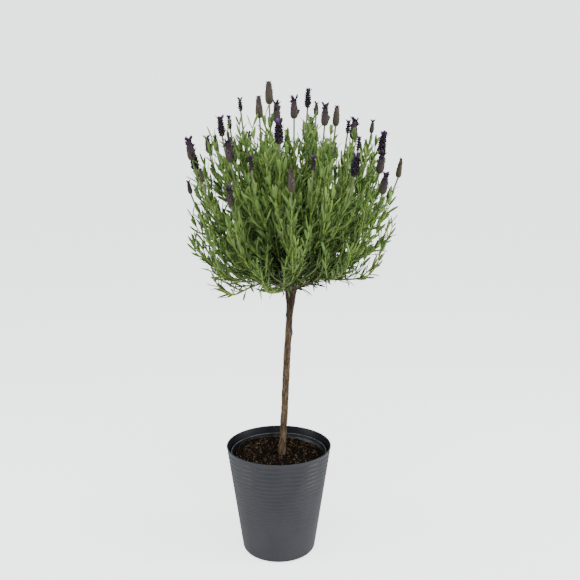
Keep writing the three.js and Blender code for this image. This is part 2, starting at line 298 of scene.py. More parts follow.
def cover_pot():
    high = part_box("cover_pot")[1]
    rim = high.x + 0.4 * MM
    outer = lambda z: POT_FOOT_RADIUS + (rim - POT_FOOT_RADIUS) * z / high.z
    foot_centre = outer(POT_FOOT_CURVE) - POT_FOOT_CURVE
    bends = [math.pi / 2 * i / 6 for i in range(7)]
    foot = [(foot_centre + POT_FOOT_CURVE * math.sin(b), POT_FOOT_CURVE * (1 - math.cos(b))) for b in bends]
    wall_heights = [POT_FOOT_CURVE + 4 * MM * i for i in range(1, 14)]
    wall_heights += [RIB_FOOT + RIB_STEP * i for i in range(int((RIB_TOP - RIB_FOOT) / RIB_STEP) + 1)]
    lip_radius = POT_WALL / 2
    lip = [
        (
            rim - lip_radius + lip_radius * math.cos(math.pi * i / 8),
            high.z - lip_radius + lip_radius * math.sin(math.pi * i / 8),
        )
        for i in range(9)
    ]
    inner_heights = [high.z - 12 * MM - 20 * MM * i for i in range(9)]
    outline = [(0, 0), (foot_centre * 0.5, 0), *foot]
    outline += [(outer(z), z) for z in wall_heights] + lip
    outline += [(outer(z) - POT_WALL, z) for z in inner_heights]
    outline += [(foot_centre - POT_WALL, POT_FLOOR), (0, POT_FLOOR)]
    mesh = turn("cover_pot_shell", outline)
    wall = mesh.attributes.new("wall", "FLOAT", "POINT")
    for point, mark in zip(mesh.vertices, wall.data):
        on_outside = point.co.xy.length > outer(point.co.z) - POT_WALL / 2
        mark.value = on_outside and RIB_FOOT <= point.co.z <= RIB_TOP
    inside = mesh.attributes.new("inside", "FLOAT", "POINT")
    for point, mark in zip(mesh.vertices, inside.data):
        mark.value = point.co.xy.length < outer(point.co.z) - POT_WALL * 0.8
    anthracite = plastic_finish("anthracite_plastic", (0.031, 0.033, 0.041, 1), (0.16, 0.165, 0.18, 1), 0.05)
    paint_shade_inside(anthracite)
    sizes = {
        "Top": RIB_TOP,
        "Foot": RIB_FOOT,
        "Top spacing": 8.6 * MM,
        "Foot spacing": 5.6 * MM,
        "Depth": 1.5 * MM,
        "Finish": anthracite,
    }
    piece = place("cover_pot_ribbed", mesh, anthracite)
    grow(piece, rib_growth(sizes), sizes)
    fix_to_frame(piece, "cover_plastic", "cover_pot")


cover_pot()

# ---- nursery pot ----
# The pot the plant was raised in: black polypropylene, about a millimetre thick, with a turned-out rim whose
# top edge carries a painted highlight, and drainage holes punched through the floor.
NURSERY_WALL = 1.2 * MM
NURSERY_RIM = 9 * MM
NURSERY_SHOULDER = 81.2 * MM
NURSERY_FOOT = 54 * MM


def drainage_growth(sizes):
    """Punches a ring of round holes through the floor."""
    tree, given = new_growth("Drainage holes", sizes)
    turns = add_node(tree, "GeometryNodeMeshCircle", {"Vertices": given["Holes"], "Radius": given["Circle"]})
    punch = {"Vertices": 20, "Radius": given["Hole radius"], "Depth": 0.02}
    punch = add_node(tree, "GeometryNodeMeshCylinder", punch)
    punches = add_node(tree, "GeometryNodeInstanceOnPoints", {"Points": turns, "Instance": punch})
    punches = add_node(tree, "GeometryNodeRealizeInstances", {0: punches})
    lift = add_node(tree, "GeometryNodeSetPosition", {"Geometry": punches, "Offset": (0, 0, 0.003)})
    solids = {0: given["Geometry"], 1: lift}
    pierced = add_node(tree, "GeometryNodeMeshBoolean", solids, operation="DIFFERENCE")
    realise_and_end(tree, pierced, given["Finish"])
    return tree


def nursery_pot():
    low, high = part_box("nursery_pot")
    rim = high.x
    shoulder = high.z - NURSERY_RIM
    outer = lambda z: NURSERY_FOOT + (NURSERY_SHOULDER - NURSERY_FOOT) * (z - low.z) / (shoulder - low.z)
    half = NURSERY_WALL / 2
    bends = [math.pi * i / 6 for i in range(7)]
    lip = [(rim - half + half * math.cos(b), high.z - half + half * math.sin(b)) for b in bends]
    steps = [low.z + 1 * MM + (shoulder - low.z - 2 * MM) * i / 10 for i in range(11)]
    outline = [(0, low.z), (NURSERY_FOOT - 1 * MM, low.z)] + [(outer(z), z) for z in steps]
    outline += [(NURSERY_SHOULDER, shoulder), (rim - 0.6 * MM, shoulder), (rim, shoulder + 0.6 * MM)]
    outline += [(rim, high.z - 3 * MM)] + lip + [(rim - NURSERY_WALL, high.z - 3 * MM)]
    outline += [(rim - NURSERY_WALL - 0.3 * MM, shoulder + 1.4 * MM)]
    outline += [(outer(z) - NURSERY_WALL, z) for z in reversed(steps)]
    outline += [(NURSERY_FOOT - 2.5 * MM, low.z + NURSERY_WALL), (0, low.z + NURSERY_WALL)]
    black = plastic_finish("black_plastic", (0.007, 0.008, 0.010, 1), (0.10, 0.105, 0.11, 1), 0.3)
    paint_rim_highlight(black, high.z)
    sizes = {"Holes": 6, "Circle": 36 * MM, "Hole radius": 5 * MM, "Finish": black}
    piece = place("nursery_pot_moulded", turn("nursery_pot_shell", outline), black)
    grow(piece, drainage_growth(sizes), sizes)
    fix_to_frame(piece, "nursery_plastic", "nursery_pot")


def paint_rim_highlight(finish, rim_height):
    """A painted highlight along the rim: the top edge is painted pale, in patches."""
    tree = finish.node_tree
    shader = tree.nodes["Principled BSDF"]
    plain = shader.inputs["Base Color"].links[0].from_socket
    spot = object_spot(tree)
    height = height_of(tree, spot)
    # Painted highlight: the lip's top edge is blended towards pale grey.
    at_edge = rescale(tree, height, rim_height - 0.9 * MM, rim_height - 0.1 * MM, 0, 1)
    patches = noise_at(tree, spot, 60, 6)
    patchy = rescale(tree, patches, 0.38, 0.62, 0.3, 0.95)
    rim_highlight = calculate(tree, "MULTIPLY", at_edge, patchy)
    tree.links.new(blend_colours(tree, rim_highlight, plain, (0.26, 0.275, 0.28, 1)), shader.inputs["Base Color"])


nursery_pot()

# ---- compost ----
# Moist peat and composted bark, packed round the roots and a little proud at the stem. Crumbs, splinters of
# bark, root fibres and pale grains of perlite lie loose on top of it.
COMPOST_LUMPS = 3 * MM
FIBRE_GIRTH = 0.022  # of its length


def compost_finish(name, dark, light, depth):
    finish, tree, shader = new_finish(name)
    spot = object_spot(tree)
    coarse = noise_at(tree, spot, 170, 8)
    fine = noise_at(tree, spot, 900, 4)
    colour = blend_colours(tree, rescale(tree, coarse, 0.35, 0.7, 0, 1), dark, light)
    roughness = rescale(tree, fine, 0.3, 0.7, 0.72, 0.98)
    height = calculate(tree, "ADD", coarse, calculate(tree, "MULTIPLY", fine, 0.4))
    use_colour_roughness_and_bump(tree, shader, colour, roughness, height, depth)
    shader.inputs["Specular IOR Level"].default_value = 0.1
    return finish


def lumpy(spot, size, seed):
    return noise.fractal(Vector((spot.x, spot.y, seed)) / size, 0.7, 2.2, 5)


def compost_plug():
    low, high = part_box("potting_compost")
    edge = high.x - 4 * MM
    level = high.z - 3 * MM
    rings = 52
    top = [(edge * (1 - i / rings), level) for i in range(1, rings)]
    outline = [(0, low.z), (52 * MM, low.z), (high.x, level - 2 * MM), (edge, level - 0.6 * MM)] + top
    mesh = turn("compost_body", outline + [(0, level)])
    for point in mesh.vertices:
        reach = point.co.xy.length
        if point.co.z > level - 1 * MM and reach < edge:
            crown = 5 * MM * max(0, 1 - reach / (26 * MM))
            heaped = 4.4 * MM * (point.co.y * 0.6 - point.co.x) / edge
            lumps = COMPOST_LUMPS * (lumpy(point.co, 14 * MM, 3) + 0.5 * lumpy(point.co, 5 * MM, 5))
            point.co.z += crown + heaped + lumps * min(1, (edge - reach) / (4 * MM))
    finish = compost_finish("moist_compost", (0.0035, 0.0025, 0.0018, 1), (0.014, 0.0085, 0.005, 1), 0.0015)
    piece = place("compost_root_ball", mesh, finish)
    fix_to_frame(piece, "compost", "potting_compost")
    return piece


def scatter_growth(sizes):
    """Drops loose bits on whatever faces upwards: each is picked, turned and sized at random."""
    tree, given = new_growth("Loose bits", sizes)
    facing = height_of(tree, add_node(tree, "GeometryNodeInputNormal"))
    spot = add_node(tree, "GeometryNodeInputPosition").outputs[0]
    height = height_of(tree, spot)
    on_top = calculate(tree, "GREATER_THAN", height, given["Level"])
    upward = calculate(tree, "MULTIPLY", on_top, calculate(tree, "GREATER_THAN", facing, 0.3))
    dropped = {"Mesh": given["Geometry"], "Selection": upward}
    dropped.update({"Density": given["Density"], "Seed": given["Seed"]})
    points = add_node(tree, "GeometryNodeDistributePointsOnFaces", dropped).outputs[0]
    random_turn = {0: (0, 0, 0), 1: (6.3, 6.3, 6.3), "Seed": given["Seed"]}
    turned = add_node(tree, "FunctionNodeRandomValue", random_turn, data_type="FLOAT_VECTOR").outputs[0]
    turned = add_node(tree, "FunctionNodeEulerToRotation", {0: turned})
    random_size = {2: given["Smallest"], 3: given["Largest"], "Seed": given["Seed"]}
    size = add_node(tree, "FunctionNodeRandomValue", random_size, data_type="FLOAT").outputs[1]
    shapes = {"Collection": given["Shapes"], "Separate Children": True, "Reset Children": True}
    shapes = add_node(tree, "GeometryNodeCollectionInfo", shapes)
    bits = {"Points": points, "Instance": shapes, "Pick Instance": True, "Rotation": turned, "Scale": size}
    bits = add_node(tree, "GeometryNodeInstanceOnPoints", bits)
    realise_and_end(tree, bits, given["Finish"])
    return tree


def shape_box(name, meshes):
    """A collection of shapes for a tree to pick from. It isn't part of the scene."""
    box = bpy.data.collections.new(name)
    for i, mesh in enumerate(meshes):
        box.objects.link(bpy.data.objects.new(f"{name}_{i}", mesh))
    return box


def bit_shape(name, seed, stretch, roughness):
    """A rough lump of unit size: a small icosphere with its corners pushed about."""
    lump = bmesh.new()
    bmesh.ops.create_icosphere(lump, subdivisions=1, radius=0.5)
    drawn = random.Random(seed)
    for corner in lump.verts:
        corner.co *= drawn.uniform(1 - roughness, 1 + roughness)
        corner.co = Vector(a * b for a, b in zip(corner.co, stretch))
    mesh = bpy.data.meshes.new(name)
    lump.to_mesh(mesh)
    lump.free()
    return mesh


def join_rings(shape, rings):
    """A band of faces between each ring of corners and the next."""
    around = len(rings[0])
    for low, high in zip(rings, rings[1:]):
        for k in range(around):
            shape.faces.new((low[k], low[(k + 1) % around], high[(k + 1) % around], high[k]))


def fibre_shape(name, seed):
    """A bent root fibre of unit length: a three-sided thread with closed ends."""
    drawn = random.Random(seed)
    sway = drawn.uniform(0.1, 0.35)
    thread = bmesh.new()
    rings = []
    for i in range(6):
        t = i / 5
        centre = Vector((t - 0.5, sway * math.sin(math.pi * t), 0.08 * math.sin(5 * t)))
        angles = [2 * math.pi * k / 3 for k in range(3)]
        corners = [Vector((0, math.cos(a), math.sin(a))) for a in angles]
        rings.append([thread.verts.new(centre + FIBRE_GIRTH * corner) for corner in corners])
    join_rings(thread, rings)
    thread.faces.new(rings[0])
    thread.faces.new(rings[-1])
    return mesh_from(thread, name)


def loose_bits(body):
    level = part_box("potting_compost")[1].z - 6 * MM
    crumb = [bit_shape(f"crumb_{i}", i, (1, 0.9, 0.7), 0.3) for i in range(6)]
    chip = [bit_shape(f"chip_{i}", 20 + i, (1, 0.45, 0.2), 0.3) for i in range(5)]
    grain = [bit_shape(f"grain_{i}", 40 + i, (1, 0.9, 0.8), 0.18) for i in range(3)]
    fibre = [fibre_shape(f"fibre_{i}", 60 + i) for i in range(4)]
    dark, light = (0.0030, 0.0022, 0.0016, 1), (0.014, 0.0088, 0.0050, 1)
    crumb_finish = compost_finish("compost_crumb", dark, light, 0.0004)
    chip_finish = compost_finish("bark_chip", (0.016, 0.009, 0.005, 1), (0.125, 0.075, 0.036, 1), 0.0004)
    grain_finish = compost_finish("perlite_grain", (0.20, 0.17, 0.12, 1), (0.48, 0.42, 0.32, 1), 0.0003)
    fibre_finish = compost_finish("root_fibre", (0.075, 0.050, 0.026, 1), (0.30, 0.225, 0.135, 1), 0.0002)
    kinds = [
        ("compost_crumbs", crumb, crumb_finish, 75000.0, 1.6 * MM, 4.8 * MM, 1),
        ("bark_chips", chip, chip_finish, 13000.0, 4 * MM, 11 * MM, 2),
        ("perlite_grains", grain, grain_finish, 6500.0, 1.0 * MM, 2.4 * MM, 3),
        ("root_fibres", fibre, fibre_finish, 4500.0, 7 * MM, 18 * MM, 4),
    ]
    tree = None
    for name, shapes, finish, density, smallest, largest, seed in kinds:
        sizes = {
            "Shapes": shape_box(name + "_shapes", shapes),
            "Finish": finish,
            "Level": level,
            "Density": density,
            "Smallest": smallest,
            "Largest": largest,
            "Seed": seed,
        }
        tree = tree or scatter_growth(sizes)
        piece = place(name, body.data.copy())
        grow(piece, tree, sizes)
        fix_to_frame(piece, "compost", "potting_compost")


loose_bits(compost_plug())

# ---- woody stem ----
# The trained main stem, years older than the head. Its bark is fibrous and grey-brown, splits lengthwise, and
# is scarred where side shoots were rubbed off. It swells into the knuckle that the head was pruned back to.
KNUCKLE = 12 * MM
STEM_RADIUS = 5.9 * MM
KNUCKLE_FLARE = 4.2 * MM
SCARS = [(0.238, 2.2), (0.318, -1.1), (0.322, 1.9), (0.395, 0.4), (0.428, -2.5)]  # height in metres, bearing


def stem_line():
    """Points up the middle of the stem: the centres of the rings of corners of the CAD stem."""
    corners = {tuple(round(x, 6) for x in v.co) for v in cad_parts["woody_stem"].data.vertices}
    corners = sorted((Vector(c) for c in corners), key=lambda c: c.z)
    head = corners[-1] - Vector((0, 0, KNUCKLE))
    rings = [[corners[0]]]
    for corner in corners[1:]:
        if corner.z - rings[-1][-1].z > 3 * MM:
            rings.append([])
        rings[-1].append(corner)
    line = [sum(ring, Vector()) / len(ring) for ring in rings if ring[0].z < head.z - 2 * KNUCKLE]
    return [*line, head], head


def bark_finish():
    finish, tree, shader = new_finish("fibrous_bark")
    spot = object_spot(tree)
    length = add_node(tree, "ShaderNodeMapping", {"Vector": spot, "Scale": (750, 750, 110)})
    fibres = noise_at(tree, length, 1, 7)
    plates = add_node(tree, "ShaderNodeMapping", {"Vector": spot, "Scale": (190, 190, 46)})
    plates = noise_at(tree, plates, 1, 3)
    grey = rescale(tree, plates, 0.35, 0.68, 0, 1)
    warm = blend_colours(tree, grey, (0.086, 0.053, 0.028, 1), (0.235, 0.168, 0.102, 1))
    split = rescale(tree, fibres, 0.36, 0.52, 0, 1)
    colour = blend_colours(tree, split, (0.022, 0.014, 0.008, 1), warm)
    height = height_of(tree, spot)
    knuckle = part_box("woody_stem")[1].z
    # Darker towards the top: painted shade under the crown, and the older, darker bark of the knuckle.
    crown_shade_and_old_bark = rescale(tree, height, knuckle - 110 * MM, knuckle - 25 * MM, 0, 0.62)
    colour = blend_colours(tree, crown_shade_and_old_bark, colour, (0.016, 0.009, 0.005, 1))
    roughness = rescale(tree, fibres, 0.3, 0.7, 0.95, 0.78)
    height = calculate(tree, "ADD", fibres, calculate(tree, "MULTIPLY", plates, 1.2))
    use_colour_roughness_and_bump(tree, shader, colour, roughness, height, 0.0011)
    shader.inputs["Specular IOR Level"].default_value = 0.25
    return finish


def write_mark(tree, geometry, name, value, kind="FLOAT"):
    marked = {"Geometry": geometry, "Name": name, "Value": value}
    return add_node(tree, "GeometryNodeStoreNamedAttribute", marked, data_type=kind, domain="POINT")


def bark_growth(sizes):
    """Sweeps a round section up the stem's line and raises bark fibres that follow the line."""
    tree, given = new_growth("Barked stem", sizes)
    girth = read_mark(tree, "girth")
    curve = add_node(tree, "GeometryNodeMeshToCurve", {0: given["Geometry"]})
    along = add_node(tree, "GeometryNodeSplineParameter").outputs["Length"]
    curve = write_mark(tree, curve, "up_stem", along)
    section = add_node(tree, "GeometryNodeCurvePrimitiveCircle", {"Resolution": given["Sides"], "Radius": 1})
    around = add_node(tree, "GeometryNodeSplineParameter").outputs["Factor"]
    section = write_mark(tree, section, "round_stem", around)
    tube = {"Curve": curve, "Profile Curve": section, "Scale": girth, "Fill Caps": True}
    tube = add_node(tree, "GeometryNodeCurveToMesh", tube)
    up = read_mark(tree, "up_stem")
    angle = calculate(tree, "MULTIPLY", read_mark(tree, "round_stem"), 2 * math.pi)
    parts = {0: calculate(tree, "COSINE", angle), 1: calculate(tree, "SINE", angle)}
    parts[2] = calculate(tree, "MULTIPLY", up, given["Fibre stretch"])
    spot = add_node(tree, "ShaderNodeCombineXYZ", parts)
    ridges = noise_at(tree, spot, 2.6, 5)
    lumps = noise_at(tree, spot, 0.8, 1)
    raised = calculate(tree, "MULTIPLY", calculate(tree, "SUBTRACT", ridges, 0.5), given["Fibre height"])
    swollen = calculate(tree, "MULTIPLY", calculate(tree, "SUBTRACT", lumps, 0.5), given["Lump height"])
    push = calculate(tree, "ADD", raised, swollen)
    normal = add_node(tree, "GeometryNodeInputNormal")
    push = scaled(tree, normal, push)
    barked = add_node(tree, "GeometryNodeSetPosition", {"Geometry": tube, "Offset": push})
    realise_and_end(tree, barked, given["Finish"])
    return tree


def path_mesh(name, paths, marks):
    """Loose lines for a tree to grow along. Each point has a place and a number for each mark."""
    mesh = bpy.data.meshes.new(name)
    places, edges = [], []
    for path in paths:
        edges += [(len(places) + i, len(places) + i + 1) for i in range(len(path) - 1)]
        places += [spot for spot, _ in path]
    mesh.from_pydata(places, edges, [])
    for label in marks:
        mark = mesh.attributes.new(label, "FLOAT", "POINT")
        mark.data.foreach_set("value", [numbers[label] for path in paths for _, numbers in path])
    return mesh


def woody_stem():
    line, head = stem_line()
    path = []
    steps = 520
    for i in range(steps + 1):
        t = i / steps * (len(line) - 1)
        k = min(int(t), len(line) - 2)
        spot = line[k].lerp(line[k + 1], t - k)
        rise = spot.z - head.z
        buttress = 1.4 * MM * max(0, 1 - abs(spot.z - line[0].z - 62 * MM) / (30 * MM))
        flare = KNUCKLE_FLARE * max(0, 1 + rise / (48 * MM)) ** 2
        path.append((spot, {"girth": STEM_RADIUS + buttress + flare}))
    for i in range(1, 13):
        rise = KNUCKLE * math.sin(math.pi / 2 * i / 12)
        girth = (STEM_RADIUS + KNUCKLE_FLARE + 1.6 * MM) * math.cos(math.pi / 2 * i / 12)
        path.append((head + Vector((0, 0, rise)), {"girth": max(girth, 0.05 * MM)}))
    bark = bark_finish()
    sizes = {
        "Sides": 56,
        "Fibre stretch": 34.0,
        "Fibre height": 2.6 * MM,
        "Lump height": 2.2 * MM,
        "Finish": bark,
    }
    piece = place("woody_stem_barked", path_mesh("stem_path", [path], ["girth"]), bark)
    grow(piece, bark_growth(sizes), sizes)
    for height, bearing in SCARS:
        out = Vector((math.cos(bearing), math.sin(bearing), 0))
        scar = min(line, key=lambda spot: abs(spot.z - height)) + out * STEM_RADIUS
        scar.z = height
        for point in piece.data.vertices:
            near = math.exp(-((point.co - scar).length / (5 * MM)) ** 2)
            point.co += out * (1.6 * MM * near)
    piece.data.shade_smooth()
    fix_to_frame(piece, "bark", "woody_stem")
    return head


head = woody_stem()

# ---- branches ----
# Each branch is a short limb of old wood on the knuckle, from which square green shoots fork and bend up.
# Narrow leaves sit on the shoots in opposite pairs, each pair a quarter turn on, with tufts in their axils.
BRANCH_RINGS = [(1, 4, 0), (5, 31, 18), (8, 66, 0)]  # branches, their lean and the first bearing, in degrees
LIMB = 52 * MM
LIMB_RADIUS = (3.1 * MM, 2.2 * MM)
SHOOT_RADIUS = (1.6 * MM, 1.45 * MM)
OUTER_SHOOTS = 24
OUTER_LEAN = 77  # degrees from upright of the lowest outer shoots
LEFT_DROOP = 7  # degrees that the left side hangs lower, and the right side higher
LEAN_RANGE = 37  # degrees from the lowest outer shoot to the highest
SIDE_LEAN, SIDE_REACH, REACH_PER_DEGREE = 84, 124, 2.6  # the more upright a shoot is, the longer, in mm
UPRIGHT_SHOOTS = 11
GOLDEN_ANGLE = math.radians(137.508)
LEAF_WIDTHS = [0.034, 0.064, 0.088, 0.102, 0.098, 0.068]
UP = Vector((0, 0, 1))


def direction(lean, bearing):
    across = Vector((math.cos(bearing), math.sin(bearing), 0))
    return across * math.sin(lean) + UP * math.cos(lean)


def spike_axis(number):
    """The lowest and the highest corner of a CAD flower spike, which are the ends of its axis."""
    corners = [v.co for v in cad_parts[f"flower_spike_{number:02d}"].data.vertices]
    return min(corners, key=lambda c: c.z).copy(), max(corners, key=lambda c: c.z).copy()


def all_tips():
    """Where the shoots end: under each flower spike, and at the leafy outside and inside of the head."""
    spikes = [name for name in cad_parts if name.startswith("flower_spike")]
    tips = [(spike_axis(i + 1)[0], True) for i in range(len(spikes))]
    for i in range(OUTER_SHOOTS):
        bearing = math.radians(200) + i * GOLDEN_ANGLE
        lean = OUTER_LEAN - LEFT_DROOP * math.cos(bearing) - LEAN_RANGE * i / (OUTER_SHOOTS - 1)
        reach = (SIDE_REACH + (SIDE_LEAN - lean) * REACH_PER_DEGREE) * MM
        tips.append((head + direction(math.radians(lean), bearing) * reach, False))
    for i in range(UPRIGHT_SHOOTS):
        lean, reach = (20, 232) if i < 4 else (12 + 5 * (i % 3), 252)
        bearing = math.radians(50 + 90 * i + 11 * (i // 4))
        tips.append((head + direction(math.radians(lean), bearing) * (reach * MM), False))
    return tips


def bezier(points, t):
    for _ in range(3):
        points = [a.lerp(b, t) for a, b in zip(points, points[1:])]
    return points[0]


def shoot_path(fork, along, tip, drawn):
    """A shoot leaves its limb between the limb's direction and its tip's, then bends up, wavering."""
    reach = (tip - fork).length
    leaving = along.lerp((tip - fork).normalized(), 0.5).normalized()
    rising = (tip - head).normalized().lerp(UP, 0.62).normalized()
    points = [fork, fork + leaving * reach * 0.3, tip - rising * reach * 0.46, tip]
    steps = max(6, round(reach / (6 * MM)))
    shift = Vector((drawn.uniform(-9, 9), drawn.uniform(-9, 9), drawn.uniform(-9, 9)))
    path = []
    for i in range(steps + 1):
        t = i / steps
        waver = Vector([noise.noise(shift + Vector((9 * k, 0, 3 * t))) for k in range(3)])
        path.append(bezier(points, t) + waver * (5 * MM * math.sin(math.pi * t)))
    return path


def tangent_at(path, i):
    return (path[min(i + 1, len(path) - 1)] - path[max(i - 1, 0)]).normalized()


def leafy(path, radii, leaf_size, youth, turn_by, bare=2):
    """Gives each point of a shoot its girth, its leaves' size and shape, and how young it is."""
    made = []
    for i, spot in enumerate(path):
        t = i / (len(path) - 1)
        fresh = youth[0] + (youth[1] - youth[0]) * t
        depth = min(1, (spot - head).length / (150 * MM))
        rise = min(1, max(0, (spot.z - head.z) / (110 * MM)))
        marks = {
            "girth": radii[0] + (radii[1] - radii[0]) * t,
            "leaf_size": leaf_size(t),
            "leaf_width": 0.34 + 0.62 * depth * (0.6 + 0.4 * rise),
            "spread": 1.0 - 0.42 * depth,
            "youth": fresh * (0.35 + 0.65 * depth),
            "stalk": min(1, max(0, (t - bare + 0.05) / 0.05)),
            "turn_by": turn_by,
        }
        made.append((spot, marks))
    return made


def short_shoot(foot, leaving, length, lift, radii, sizes, youth, drawn):
    """A leafy shoot that sets out in one direction and bends upwards by its lift."""
    end = foot + leaving * length * (1 - lift) + UP * length * lift
    points = [foot, foot + leaving * length * 0.4, end - (leaving * 0.3 + UP) * length * 0.25, end]
    steps = max(4, round(length / (6 * MM)))
    path = [bezier(points, k / steps) for k in range(steps + 1)]
    for spot in path:
        spot.x = min(max(spot.x, cad_low.x + 14 * MM), cad_high.x - 14 * MM)
        spot.y = min(max(spot.y, cad_low.y + 14 * MM), cad_high.y - 14 * MM)
    return leafy(path, radii, lambda t: sizes[0] + (sizes[1] - sizes[0]) * t, youth, drawn.uniform(0, 3))


def spread_from(along, least, most, drawn):
    """A direction that leans away from another by a random angle, to a random side."""
    out = along.orthogonal().normalized()
    out.rotate(Matrix.Rotation(drawn.uniform(0, 2 * math.pi), 3, along))
    lean = drawn.uniform(least, most)
    leaving = along * math.cos(lean) + out * math.sin(lean)
    leaving.z = max(leaving.z, 0.34)
    return leaving.normalized()


def side_shoots(path, drawn):
    """Short leafy laterals in the axils of the lower leaves."""
    made = []
    upright = tangent_at(path, len(path) // 2).z > 0.72
    for share in (0.16, 0.28, 0.4, 0.52, 0.64, 0.75) if upright else (0.2, 0.36, 0.52, 0.7):
        i = int(share * (len(path) - 1))
        leaving = spread_from(tangent_at(path, i), 0.6 - 0.5 * share, 0.9 - 0.6 * share, drawn)
        length = drawn.uniform(66, 98) * MM * (1.08 - 0.36 * share)
        radii, sizes, youth = (1.3 * MM, 0.8 * MM), (0.95, 0.8), (0.4, 0.95)
        made.append(short_shoot(path[i], leaving, length, 0.33, radii, sizes, youth, drawn))
    return made


def inner_shoots(start, along, drawn):
    """Fine-leaved shoots all along the limb, which fill the shaded middle of the head."""
    made = []
    count = 8 if along.z < 0.6 else 11
    for i in range(count):
        foot = start + along * LIMB * (0.05 + 0.95 * i / (count - 1))
        leaving = spread_from(along, 0.3, 1.0, drawn)
        length = drawn.uniform(60, 140) * MM
        radii, sizes, youth = (1.1 * MM, 0.6 * MM), (0.95, 0.8), (0.1, 0.7)
        made.append(short_shoot(foot, leaving, length, 0.3, radii, sizes, youth, drawn))
    return made


def branch_paths():
    """For each branch, its limb, its shoots and their laterals. A tip belongs to the nearest branch."""
    ways = []
    for count, lean, first in BRANCH_RINGS:
        for i in range(count):
            ways.append(direction(math.radians(lean), math.radians(first + 360 / count * i)))
    owned = [[] for _ in ways]
    for tip, flowering in all_tips():
        towards = (tip - head).normalized()
        nearest = max(range(len(ways)), key=lambda k: ways[k].dot(towards))
        owned[nearest].append((ways[nearest].dot(towards), len(owned[nearest]), tip, flowering))
    drawn = random.Random(7)
    branches = []
    for along, tips in zip(ways, owned):
        start = head + along * (KNUCKLE * 0.8)
        limb = [start + along * (LIMB + KNUCKLE * 0.2) * i / 8 for i in range(9)]
        paths = [leafy(limb, LIMB_RADIUS, lambda t: 0.0, (0, 0.1), 0)]
        for i, (_, _, tip, flowering) in enumerate(sorted(tips)):
            share = 0.3 + 0.66 * (i + 1) / len(tips)
            path = shoot_path(start + along * LIMB * share, along, tip, drawn)
            if flowering:
                bare = 1 - drawn.uniform(18, 38) * MM / (path[-1] - path[0]).length
                size = lambda t: 0.0 if t > bare else 0.9 + 0.15 * t
            else:
                bare = 2
                size = lambda t: 0.9 + 0.2 * t - 0.35 * t**4
            paths.append(leafy(path, SHOOT_RADIUS, size, (0.15, 1.0), drawn.uniform(0, 3), bare))
            paths += side_shoots(path, drawn)
        paths += inner_shoots(start, along, drawn)
        branches.append(paths)
    return branches


def close_ends(shape, rings, foot, point):
    """Fans of faces from the first ring to the foot and from the last ring to the point."""
    around = len(rings[0])
    for k in range(around):
        shape.faces.new((foot, rings[0][(k + 1) % around], rings[0][k]))
        shape.faces.new((point, rings[-1][k], rings[-1][(k + 1) % around]))


def blade_shape(name, widths, bend, twist=0.0, cup=0.014, thickness=0.014):
    """A leaf of unit length standing along Z with its upper side to -X: a closed blade with a midrib."""
    blade = bmesh.new()
    rings = []
    for i, width in enumerate(widths):
        t = (i + 0.25) / len(widths)
        across = Vector((math.sin(twist * t), math.cos(twist * t), 0))
        upper = Vector((-math.cos(twist * t), math.sin(twist * t), 0))
        middle = Vector((bend * t * t, 0, t))
        edge = upper * (cup + width * cup * 2)
        section = [across * width + edge, upper * 0.002, across * -width + edge, upper * -thickness]
        rings.append([blade.verts.new(middle + corner) for corner in section])
    foot = blade.verts.new((0, 0, -0.01))
    point = blade.verts.new((bend, 0, 1))
    join_rings(blade, rings)
    close_ends(blade, rings, foot, point)
    mesh = mesh_from(blade, name)
    mesh.shade_smooth()
    edges = [1.0, 0.0, 1.0, 0.3] * len(widths) + [0.0, 0.6]
    lengths = [(i // 4 + 0.25) / len(widths) for i in range(4 * len(widths))] + [0.0, 1.0]
    for label, values in (("blade_edge", edges), ("blade_length", lengths)):
        mesh.attributes.new(label, "FLOAT", "POINT").data.foreach_set("value", values)
    return mesh


def leaf_finish():
    """Fresh leaves are yellow-green, old ones grey-green with fine felt. The midrib and foot are paler."""
    finish, tree, shader = new_finish("lavender_leaf")
    read = lambda name: painted(tree, name)
    youth, tone, edge, length = read("youth"), read("tone"), read("blade_edge"), read("blade_length")
    old = blend_colours(tree, tone, (0.020, 0.043, 0.018, 1), (0.140, 0.192, 0.102, 1))
    fresh = blend_colours(tree, tone, (0.066, 0.165, 0.019, 1), (0.275, 0.455, 0.085, 1))
    blade = blend_colours(tree, youth, old, fresh)
    rib = rescale(tree, edge, 0.0, 0.45, 0.55, 0)
    colour = blend_colours(tree, rib, blade, (0.30, 0.42, 0.13, 1))
    foot = rescale(tree, length, 0, 0.2, 0.4, 0)
    colour = blend_colours(tree, foot, colour, (0.26, 0.36, 0.12, 1))
    spot = object_spot(tree)
    felt = noise_at(tree, spot, 2600, 2)
    roughness = rescale(tree, felt, 0.3, 0.7, 0.5, 0.68)
    use_colour_roughness_and_bump(tree, shader, colour, roughness, felt, 0.00012)
    return finish


def shoot_finish():
    """Old wood is grey-brown and stringy. Towards the tips it turns to smooth yellow-green shoot."""
    finish, tree, shader = new_finish("lavender_shoot")
    youth = painted(tree, "youth")
    spot = object_spot(tree)
    mottle = noise_at(tree, spot, 420, 5)
    wood = blend_colours(tree, mottle, (0.055, 0.030, 0.017, 1), (0.20, 0.135, 0.085, 1))
    green = blend_colours(tree, mottle, (0.200, 0.310, 0.042, 1), (0.400, 0.545, 0.105, 1))
    stalk = painted(tree, "stalk")
    green = blend_colours(tree, stalk, green, (0.165, 0.205, 0.080, 1))
    colour = blend_colours(tree, rescale(tree, youth, 0.06, 0.26, 0, 1), wood, green)
    roughness = rescale(tree, youth, 0, 0.4, 0.88, 0.55)
    use_colour_roughness_and_bump(tree, shader, colour, roughness, mottle, 0.0003)
    return finish


def draw(tree, low, high, seed):
    ends = {2: low, 3: high, "Seed": seed}
    return add_node(tree, "FunctionNodeRandomValue", ends, data_type="FLOAT").outputs[1]


